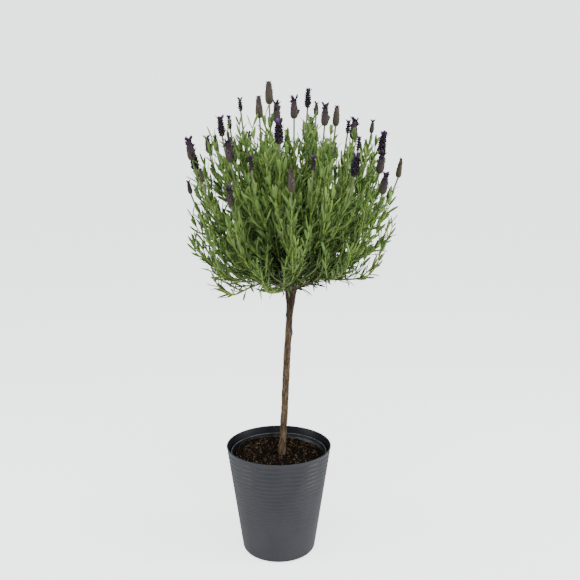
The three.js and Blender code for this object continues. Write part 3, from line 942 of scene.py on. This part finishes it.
def sweep(tree, paths, given):
    """A tube along each path, as thick as its girth, with closed ends."""
    section = add_node(tree, "GeometryNodeCurvePrimitiveCircle", {"Resolution": given["Sides"], "Radius": 1})
    swept = {"Curve": paths, "Profile Curve": section, "Scale": read_mark(tree, "girth"), "Fill Caps": True}
    return add_node(tree, "GeometryNodeCurveToMesh", swept)


def whorls(tree, paths, spacing, copies):
    """Steps along the paths, with several copies of a point at each, and the number of each copy."""
    steps = add_node(tree, "GeometryNodeResampleCurve", {"Curve": paths, "Length": spacing}, mode="LENGTH")
    along = add_node(tree, "GeometryNodeSplineParameter").outputs
    steps = write_mark(tree, steps, "step", along["Index"])
    steps = write_mark(tree, steps, "share", along["Factor"])
    steps = add_node(tree, "GeometryNodeCurveToPoints", {0: steps}, mode="EVALUATED")
    steps = write_mark(tree, steps.outputs[0], "stem_turn", steps.outputs["Rotation"], "QUATERNION")
    made = {"Geometry": steps, "Amount": copies}
    return add_node(tree, "GeometryNodeDuplicateElements", made, domain="POINT").outputs


def aim(tree, bearing, lean):
    """A turn that points a shape's Z away from the stem: by a bearing round it, then a lean outwards."""
    turned = read_mark(tree, "stem_turn", "QUATERNION")
    for axis, angle in (((0, 0, 1), bearing), ((0, 1, 0), lean)):
        step = add_node(tree, "FunctionNodeAxisAngleToRotation", {"Axis": axis, "Angle": angle})
        turned = {"Rotation": turned, "Rotate By": step}
        turned = add_node(tree, "FunctionNodeRotateRotation", turned, rotation_space="LOCAL")
    return turned


def set_shapes(tree, points, chosen, box, turned, scale, finish):
    """Puts one shape out of a box on every chosen point."""
    shapes = {"Collection": box, "Separate Children": True, "Reset Children": True}
    shapes = add_node(tree, "GeometryNodeCollectionInfo", shapes)
    made = {"Points": points, "Selection": chosen, "Instance": shapes, "Pick Instance": True}
    made = add_node(tree, "GeometryNodeInstanceOnPoints", {**made, "Rotation": turned, "Scale": scale})
    return add_node(tree, "GeometryNodeSetMaterial", {0: made, "Material": finish})


def join_and_end(tree, *pieces):
    whole = add_node(tree, "GeometryNodeJoinGeometry")
    for piece in pieces:
        tree.links.new(piece.outputs[0], whole.inputs[0])
    end_growth(tree, add_node(tree, "GeometryNodeRealizeInstances", {0: whole}))


def branch_growth(sizes):
    """Sweeps a stem along every path. Each step gets a pair of leaves, and smaller ones in their axils."""
    tree, given = new_growth("Leafy branch", sizes)
    paths = add_node(tree, "GeometryNodeMeshToCurve", {0: given["Geometry"]}).outputs[0]
    stems = sweep(tree, paths, given)
    stems = add_node(tree, "GeometryNodeSetMaterial", {0: stems, "Material": given["Shoot finish"]})
    leaves, copy = whorls(tree, paths, given["Leaf spacing"], given["Leaves per node"])
    in_axil = calculate(tree, "GREATER_THAN", copy, 1.5)
    bearing = calculate(tree, "MULTIPLY", calculate(tree, "MODULO", copy, 2), math.pi)
    quarter = calculate(tree, "MULTIPLY", calculate(tree, "MODULO", read_mark(tree, "step"), 2), math.pi / 2)
    bearing = calculate(tree, "ADD", calculate(tree, "ADD", bearing, quarter), read_mark(tree, "turn_by"))
    most = calculate(tree, "MULTIPLY_ADD", in_axil, 0.9, 0.3)
    stray = calculate(tree, "MULTIPLY", draw(tree, -1, 1, 1), most)
    bearing = calculate(tree, "ADD", bearing, stray)
    lean = calculate(tree, "MULTIPLY", read_mark(tree, "spread"), draw(tree, 0.7, 1.35, 2))
    turned = aim(tree, bearing, lean)
    points_to = add_node(tree, "FunctionNodeRotateVector", {"Vector": (0, 0, 1), "Rotation": turned})
    lift = add_node(tree, "ShaderNodeCombineXYZ", {2: given["Lift"]})
    points_to = add_node(tree, "ShaderNodeVectorMath", {0: points_to, 1: lift}, operation="ADD")
    turned = {"Rotation": turned, "Vector": points_to}
    turned = add_node(tree, "FunctionNodeAlignRotationToVector", turned, axis="Z")
    share = {0: in_axil, 1: draw(tree, 0.75, 1.12, 3), 2: draw(tree, 0.3, 0.65, 4)}
    share = add_node(tree, "GeometryNodeSwitch", share, input_type="FLOAT")
    size = calculate(tree, "MULTIPLY", read_mark(tree, "leaf_size"), share)
    length = calculate(tree, "MULTIPLY", size, given["Leaf length"])
    width = calculate(tree, "MULTIPLY", length, read_mark(tree, "leaf_width"))
    scale = add_node(tree, "ShaderNodeCombineXYZ", {0: length, 1: width, 2: length})
    leafy = calculate(tree, "GREATER_THAN", read_mark(tree, "leaf_size"), 0.05)
    present = calculate(tree, "LESS_THAN", draw(tree, 0, 1, 6), given["Fullness"])
    kept = calculate(tree, "MULTIPLY", leafy, present)
    points = write_mark(tree, leaves, "tone", draw(tree, 0, 1, 5))
    broad = calculate(tree, "GREATER_THAN", read_mark(tree, "leaf_width"), 0.64)
    shown = calculate(tree, "MULTIPLY", kept, broad)
    leaves = set_shapes(tree, points, shown, given["Leaf shapes"], turned, scale, given["Leaf finish"])
    shown = calculate(tree, "SUBTRACT", kept, shown)
    curled = set_shapes(tree, points, shown, given["Inner leaf shapes"], turned, scale, given["Leaf finish"])
    join_and_end(tree, stems, leaves, curled)
    return tree


def keep_to_size(mesh):
    """Presses whatever would stand out of the plant's measured size back in, gently, as a hand would."""
    soft = 5 * MM
    press = lambda past: soft * (1 - math.exp(-past / soft)) if past > 0 else past
    for point in mesh.vertices:
        for k in range(3):
            if point.co[k] > cad_high[k] - soft:
                point.co[k] = cad_high[k] - soft + press(point.co[k] - cad_high[k] + soft)
            elif point.co[k] < cad_low[k] + soft:
                point.co[k] = cad_low[k] + soft - press(cad_low[k] + soft - point.co[k])


def branches():
    leaf, shoot = leaf_finish(), shoot_finish()
    shapes = [(-0.12, 0.0), (-0.05, 0.5), (0.03, -0.4), (0.11, 0.25), (0.22, -0.15), (-0.2, -0.3)]
    outer = [blade_shape(f"leaf_{i}", LEAF_WIDTHS, *shape) for i, shape in enumerate(shapes)]
    shapes = [(-0.55, 0.3), (-0.34, -0.5), (0.36, 0.4), (0.6, -0.2), (0.15, 0.9), (-0.2, -0.8)]
    inner = [blade_shape(f"inner_leaf_{i}", LEAF_WIDTHS, *shape) for i, shape in enumerate(shapes)]
    sizes = {
        "Leaf shapes": shape_box("leaf_shapes", outer),
        "Inner leaf shapes": shape_box("inner_leaf_shapes", inner),
        "Leaf finish": leaf,
        "Shoot finish": shoot,
        "Sides": 6,
        "Leaf spacing": 14 * MM,
        "Leaves per node": 4,
        "Leaf length": 30 * MM,
        "Lift": 0.28,
        "Fullness": 0.97,
    }
    tree = branch_growth(sizes)
    marks = ["girth", "leaf_size", "leaf_width", "spread", "youth", "stalk", "turn_by"]
    for i, paths in enumerate(branch_paths()):
        piece = place(f"leafy_branch_{i + 1:02d}", path_mesh(f"branch_paths_{i + 1:02d}", paths, marks))
        grow(piece, tree, sizes)
        piece.data.shade_smooth()
        keep_to_size(piece.data)
        fix_to_frame(piece, "foliage", f"branch_{i + 1:02d}")


branches()

# ---- flower spikes ----
# A spike is a stalk packed with rows of cupped, felted bracts, and a small dark floret stands in the mouth of
# each one once it opens. At the top are the ears, five long violet bracts that catch the light.
# Which spikes are in flower, which are still in bud and which have gone brown. The rest are ripe but closed.
OPEN_SPIKES = (1, 5, 9, 10, 12, 13, 16, 19, 20, 22, 24, 29, 31, 32, 33, 38)
BUD_SPIKES = (2, 6, 8, 34, 37)
FADED_SPIKES = (35, 36)


def spike_marks(number):
    """How far a spike has come: its openness, how long its ears are, its ripeness, and how faded it is."""
    if number in OPEN_SPIKES:
        return {"openness": 0.85, "ears": 0.35, "ripeness": 1.0, "fade": 0.0}
    if number in BUD_SPIKES:
        return {"openness": 0.0, "ears": 0.15, "ripeness": 0.5, "fade": 0.2}
    if number in FADED_SPIKES:
        return {"openness": 0.05, "ears": 0.15, "ripeness": 0.3, "fade": 1.0}
    return {"openness": 0.1, "ears": 0.3, "ripeness": 0.93, "fade": 0.16}


def spike_path(number):
    """Points up a spike's stalk, with the marks that its tree reads. It stays inside the CAD spike's ends."""
    foot, top = spike_axis(number)
    along = (top - foot).normalized()
    corners = [v.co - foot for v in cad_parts[f"flower_spike_{number:02d}"].data.vertices]
    radius = max((c - along * c.dot(along)).length for c in corners)
    marks = spike_marks(number)
    body = (top - foot).length * (1 - marks["ears"] * 0.8)
    is_open = marks["openness"] > 0.5
    girth, bract, taper = (0.52, 0.88, 0.12) if is_open else (0.98, 1.15, 0.42)
    drawn = random.Random(number)
    points = []
    for i in range(9):
        t = i / 8
        swell = min(1, 0.55 + 2.8 * t) * (1 - taper * max(0, t - 0.4) / 0.6)
        sizes = {
            "girth": radius * girth * swell,
            "bract_size": radius * bract * (0.7 + 0.3 * swell) * (1 - 0.25 * t**3),
            "ear_size": (top - foot).length * marks["ears"],
            "height": t,
            "turn_by": drawn.random() * 0.2,
        }
        points.append((foot + along * body * t, {**marks, **sizes}))
    return points


def floret_shape(name, lobes, flare):
    """A floret of unit length: a tube that opens into rounded lobes round a dark throat."""
    floret = bmesh.new()
    count = lobes * 2
    rings = []
    tube = [(0.13, 0.13, 0.0), (0.24, 0.24, 0.35), (0.2, 0.2, 0.62)]
    for radius, notch, height in [*tube, (flare, 0.22, 0.82)]:
        ring = []
        for k in range(count):
            reach = radius if k % 2 else notch
            angle = 2 * math.pi * k / count
            ring.append(floret.verts.new((reach * math.cos(angle), reach * math.sin(angle), height)))
        rings.append(ring)
    foot = floret.verts.new((0, 0, -0.02))
    throat = floret.verts.new((0, 0, 0.7 if flare > 0.3 else 1.0))
    join_rings(floret, rings)
    close_ends(floret, rings, foot, throat)
    mesh = mesh_from(floret, name)
    mesh.shade_smooth()
    heights = [min(1.0, max(0.0, point.co.z)) for point in mesh.vertices]
    mesh.attributes.new("blade_length", "FLOAT", "POINT").data.foreach_set("value", heights)
    return mesh


def spike_finish(name, young, ripe, faded, tip):
    """Felted petals: green-brown while young, dark purple when ripe, brown when faded, with a tinted tip.
    Painted shade darkens the foot of each petal, and random patches of it.
    """
    finish, tree, shader = new_finish(name)
    read = lambda name: painted(tree, name)
    tone, length, height = read("tone"), read("blade_length"), read("height")
    spot = object_spot(tree)
    felt = noise_at(tree, spot, 3200, 3)
    ripened = calculate(tree, "MULTIPLY", read("ripeness"), rescale(tree, height, 0.0, 0.6, 0.12, 1))
    colour = blend_colours(tree, ripened, young, ripe)
    colour = blend_colours(tree, calculate(tree, "MULTIPLY", read("fade"), tone), colour, faded)
    colour = blend_colours(tree, rescale(tree, length, 0.55, 1, 0, 0.7), colour, tip)
    # Painted shade: the foot of each bract and floret goes towards near-black, as if shaded by the row above.
    colour = blend_colours(tree, rescale(tree, length, 0.4, 0.8, 0.75, 0), colour, (0.005, 0.003, 0.006, 1))
    # Painted shade in random patches, from the felt and each piece's tone.
    shade = rescale(tree, calculate(tree, "ADD", felt, tone), 0.5, 1.3, 0.0, 0.72)
    colour = blend_colours(tree, shade, colour, (0.005, 0.003, 0.006, 1))
    use_colour_roughness_and_bump(tree, shader, colour, rescale(tree, felt, 0.3, 0.7, 0.6, 0.8), felt, 0.0002)
    return finish


def set_out(tree, points, bearing):
    """Moves points from the middle of the stalk to just inside its skin."""
    outwards = {"Vector": (1, 0, 0), "Rotation": aim(tree, bearing, 0.0)}
    outwards = add_node(tree, "FunctionNodeRotateVector", outwards)
    inset = calculate(tree, "MULTIPLY", read_mark(tree, "girth"), 0.75)
    outwards = scaled(tree, outwards, inset)
    return add_node(tree, "GeometryNodeSetPosition", {"Geometry": points, "Offset": outwards})


def spike_growth(sizes):
    """Rows of bracts on a swollen stalk, with a floret in each open one and a crown of ears."""
    tree, given = new_growth("Flower spike", sizes)
    paths = add_node(tree, "GeometryNodeMeshToCurve", {0: given["Geometry"]}).outputs[0]
    stalk = {0: sweep(tree, paths, given), "Material": given["Bract finish"]}
    stalk = add_node(tree, "GeometryNodeSetMaterial", stalk)

    rows, copy = whorls(tree, paths, given["Row spacing"], given["Bracts per row"])
    part = calculate(tree, "DIVIDE", 2 * math.pi, given["Bracts per row"])
    stagger = calculate(tree, "MULTIPLY", calculate(tree, "MODULO", read_mark(tree, "step"), 2), 0.5)
    bearing = calculate(tree, "MULTIPLY", calculate(tree, "ADD", copy, stagger), part)
    bearing = calculate(tree, "ADD", bearing, draw(tree, -0.16, 0.16, 1))
    rows = set_out(tree, rows, bearing)
    rows = write_mark(tree, rows, "tone", draw(tree, 0, 1, 2))
    size = calculate(tree, "MULTIPLY", read_mark(tree, "bract_size"), draw(tree, 0.88, 1.12, 3))
    opened = calculate(tree, "LESS_THAN", draw(tree, 0, 1, 4), read_mark(tree, "openness"))
    lean = calculate(tree, "MULTIPLY_ADD", read_mark(tree, "openness"), 0.45, draw(tree, 0.08, 0.22, 5))
    turned = aim(tree, bearing, lean)
    bracts = set_shapes(tree, rows, True, given["Bract shapes"], turned, size, given["Bract finish"])
    lean = calculate(tree, "ADD", lean, draw(tree, 0.2, 0.5, 6))
    floret_size = calculate(tree, "MULTIPLY", size, draw(tree, 0.95, 1.25, 7))
    turned = aim(tree, bearing, lean)
    shapes, finish = given["Floret shapes"], given["Floret finish"]
    florets = set_shapes(tree, rows, opened, shapes, turned, floret_size, finish)

    tops, copy = whorls(tree, paths, given["Row spacing"], given["Ears"])
    part = calculate(tree, "DIVIDE", 2 * math.pi, given["Ears"])
    bearing = calculate(tree, "MULTIPLY_ADD", copy, part, draw(tree, -0.4, 0.4, 8))
    turned = aim(tree, bearing, draw(tree, 0.1, 0.55, 9))
    tops = set_out(tree, tops, bearing)
    at_top = calculate(tree, "GREATER_THAN", read_mark(tree, "share"), 0.999)
    tops = write_mark(tree, tops, "tone", draw(tree, 0, 1, 10))
    size = calculate(tree, "MULTIPLY", read_mark(tree, "ear_size"), draw(tree, 0.85, 1.1, 11))
    ears = set_shapes(tree, tops, at_top, given["Ear shapes"], turned, size, given["Ear finish"])
    join_and_end(tree, stalk, bracts, florets, ears)
    return tree


def flower_spikes():
    bract_widths = [0.20, 0.33, 0.36, 0.26, 0.12]
    ear_widths = [0.10, 0.16, 0.21, 0.25, 0.25, 0.16]
    bends = (-0.05, 0.03, 0.1)
    bracts = [blade_shape(f"bract_{i}", bract_widths, b, 0, 0.09, 0.05) for i, b in enumerate(bends)]
    ears = [(0.1, 0.3), (0.28, -0.2), (-0.1, 0.5), (0.2, -0.6)]
    ears = [blade_shape(f"ear_{i}", ear_widths, b, t, 0.03, 0.02) for i, (b, t) in enumerate(ears)]
    florets = [floret_shape("floret_open", 5, 0.46), floret_shape("floret_bud", 5, 0.16)]
    faded = (0.24, 0.140, 0.130, 1)
    bract = [(0.270, 0.250, 0.090, 1), (0.085, 0.034, 0.080, 1), faded, (0.145, 0.088, 0.100, 1)]
    floret = [(0.046, 0.021, 0.048, 1), (0.016, 0.006, 0.028, 1), faded, (0.028, 0.009, 0.050, 1)]
    ear = [(0.10, 0.05, 0.11, 1), (0.125, 0.036, 0.190, 1), faded, (0.22, 0.080, 0.30, 1)]
    sizes = {
        "Bract shapes": shape_box("bract_shapes", bracts),
        "Floret shapes": shape_box("floret_shapes", florets),
        "Ear shapes": shape_box("ear_shapes", ears),
        "Bract finish": spike_finish("lavender_bract", *bract),
        "Floret finish": spike_finish("lavender_floret", *floret),
        "Ear finish": spike_finish("lavender_ear", *ear),
        "Sides": 10,
        "Row spacing": 3.1 * MM,
        "Bracts per row": 6,
        "Ears": 5,
    }
    tree = spike_growth(sizes)
    marks = ["girth", "bract_size", "ear_size", "height", "turn_by", "openness", "ripeness", "fade"]
    count = len([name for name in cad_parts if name.startswith("flower_spike")])
    for number in range(1, count + 1):
        paths = path_mesh(f"spike_path_{number:02d}", [spike_path(number)], marks)
        piece = place(f"lavender_spike_{number:02d}", paths)
        grow(piece, tree, sizes)
        piece.data.shade_smooth()
        keep_to_size(piece.data)
        fix_to_frame(piece, "bloom", f"flower_spike_{number:02d}")


flower_spikes()

# ---- floor, lights and camera ----
# Not part of the object: a wide pale floor that meets a pale surround, and large soft lamps round the plant.
# Floor and surround look brighter to the camera than they light the plant.
CAMERA_PLACE = (0.0197, -1.321, 0.7387)
CAMERA_TILT = 0.2  # radians below level
FOCAL_LENGTH, SENSOR_WIDTH = 49.38, 36  # millimetres
BACKGROUND = (0.955, 0.985, 1.0, 1)
SKY_LIGHT = 0.36  # how much the surround lights the plant
SKY_GLOW = 2.6  # how bright it looks behind the plant, as if it had lamps of its own
FLOOR_GLOW = 2.28


def floor():
    tiles = bmesh.new()
    bmesh.ops.create_circle(tiles, cap_ends=True, segments=96, radius=14)
    mesh = bpy.data.meshes.new("studio_floor")
    tiles.to_mesh(mesh)
    tiles.free()
    pale, tree, shader = new_finish("studio_floor_paint")
    spot = object_spot(tree)
    grain = noise_at(tree, spot, 3, 2)
    colour = blend_colours(tree, grain, (0.80, 0.81, 0.82, 1), (0.83, 0.84, 0.85, 1))
    use_colour_roughness_and_bump(tree, shader, colour, rescale(tree, grain, 0, 1, 0.7, 0.8), grain, 0.0)
    seen = add_node(tree, "ShaderNodeLightPath").outputs["Is Camera Ray"]
    shader.inputs["Emission Color"].default_value = BACKGROUND
    tree.links.new(calculate(tree, "MULTIPLY", seen, FLOOR_GLOW), shader.inputs["Emission Strength"])
    place("studio_floor", mesh, pale)


def surround():
    world = bpy.data.worlds.new("pale_surround")
    world.use_nodes = True
    tree = world.node_tree
    sky = tree.nodes["Background"]
    sky.inputs["Color"].default_value = BACKGROUND
    seen = add_node(tree, "ShaderNodeLightPath").outputs["Is Camera Ray"]
    strength = calculate(tree, "MULTIPLY_ADD", seen, SKY_GLOW - SKY_LIGHT, SKY_LIGHT)
    tree.links.new(strength, sky.inputs["Strength"])
    bpy.context.scene.world = world


def lamp(name, spot, target, size, power):
    light = bpy.data.lights.new(name, "AREA")
    light.shape = "RECTANGLE"
    light.size, light.size_y = size
    light.energy = power
    stand = bpy.data.objects.new(name, light)
    bpy.context.scene.collection.objects.link(stand)
    stand.location = spot
    stand.rotation_euler = (Vector(target) - Vector(spot)).to_track_quat("-Z", "Y").to_euler()


def camera():
    lens = bpy.data.cameras.new("camera")
    lens.lens, lens.sensor_width = FOCAL_LENGTH, SENSOR_WIDTH
    stand = bpy.data.objects.new("camera", lens)
    bpy.context.scene.collection.objects.link(stand)
    stand.location = CAMERA_PLACE
    stand.rotation_euler = (math.pi / 2 - CAMERA_TILT, 0, 0)
    bpy.context.scene.camera = stand


floor()
surround()
lamp("soft_left", (-1.7, -0.5, 1.0), (0, 0, 0.4), (0.7, 1.6), 20)
lamp("soft_right", (1.7, -0.3, 1.0), (0, 0, 0.4), (0.7, 1.6), 23)
lamp("soft_top", (0.2, -0.9, 2.3), (0, 0, 0.5), (1.6, 1.2), 34)
lamp("soft_front", (0.5, -1.7, 0.9), (0, 0, 0.2), (0.25, 1.4), 4)
camera()
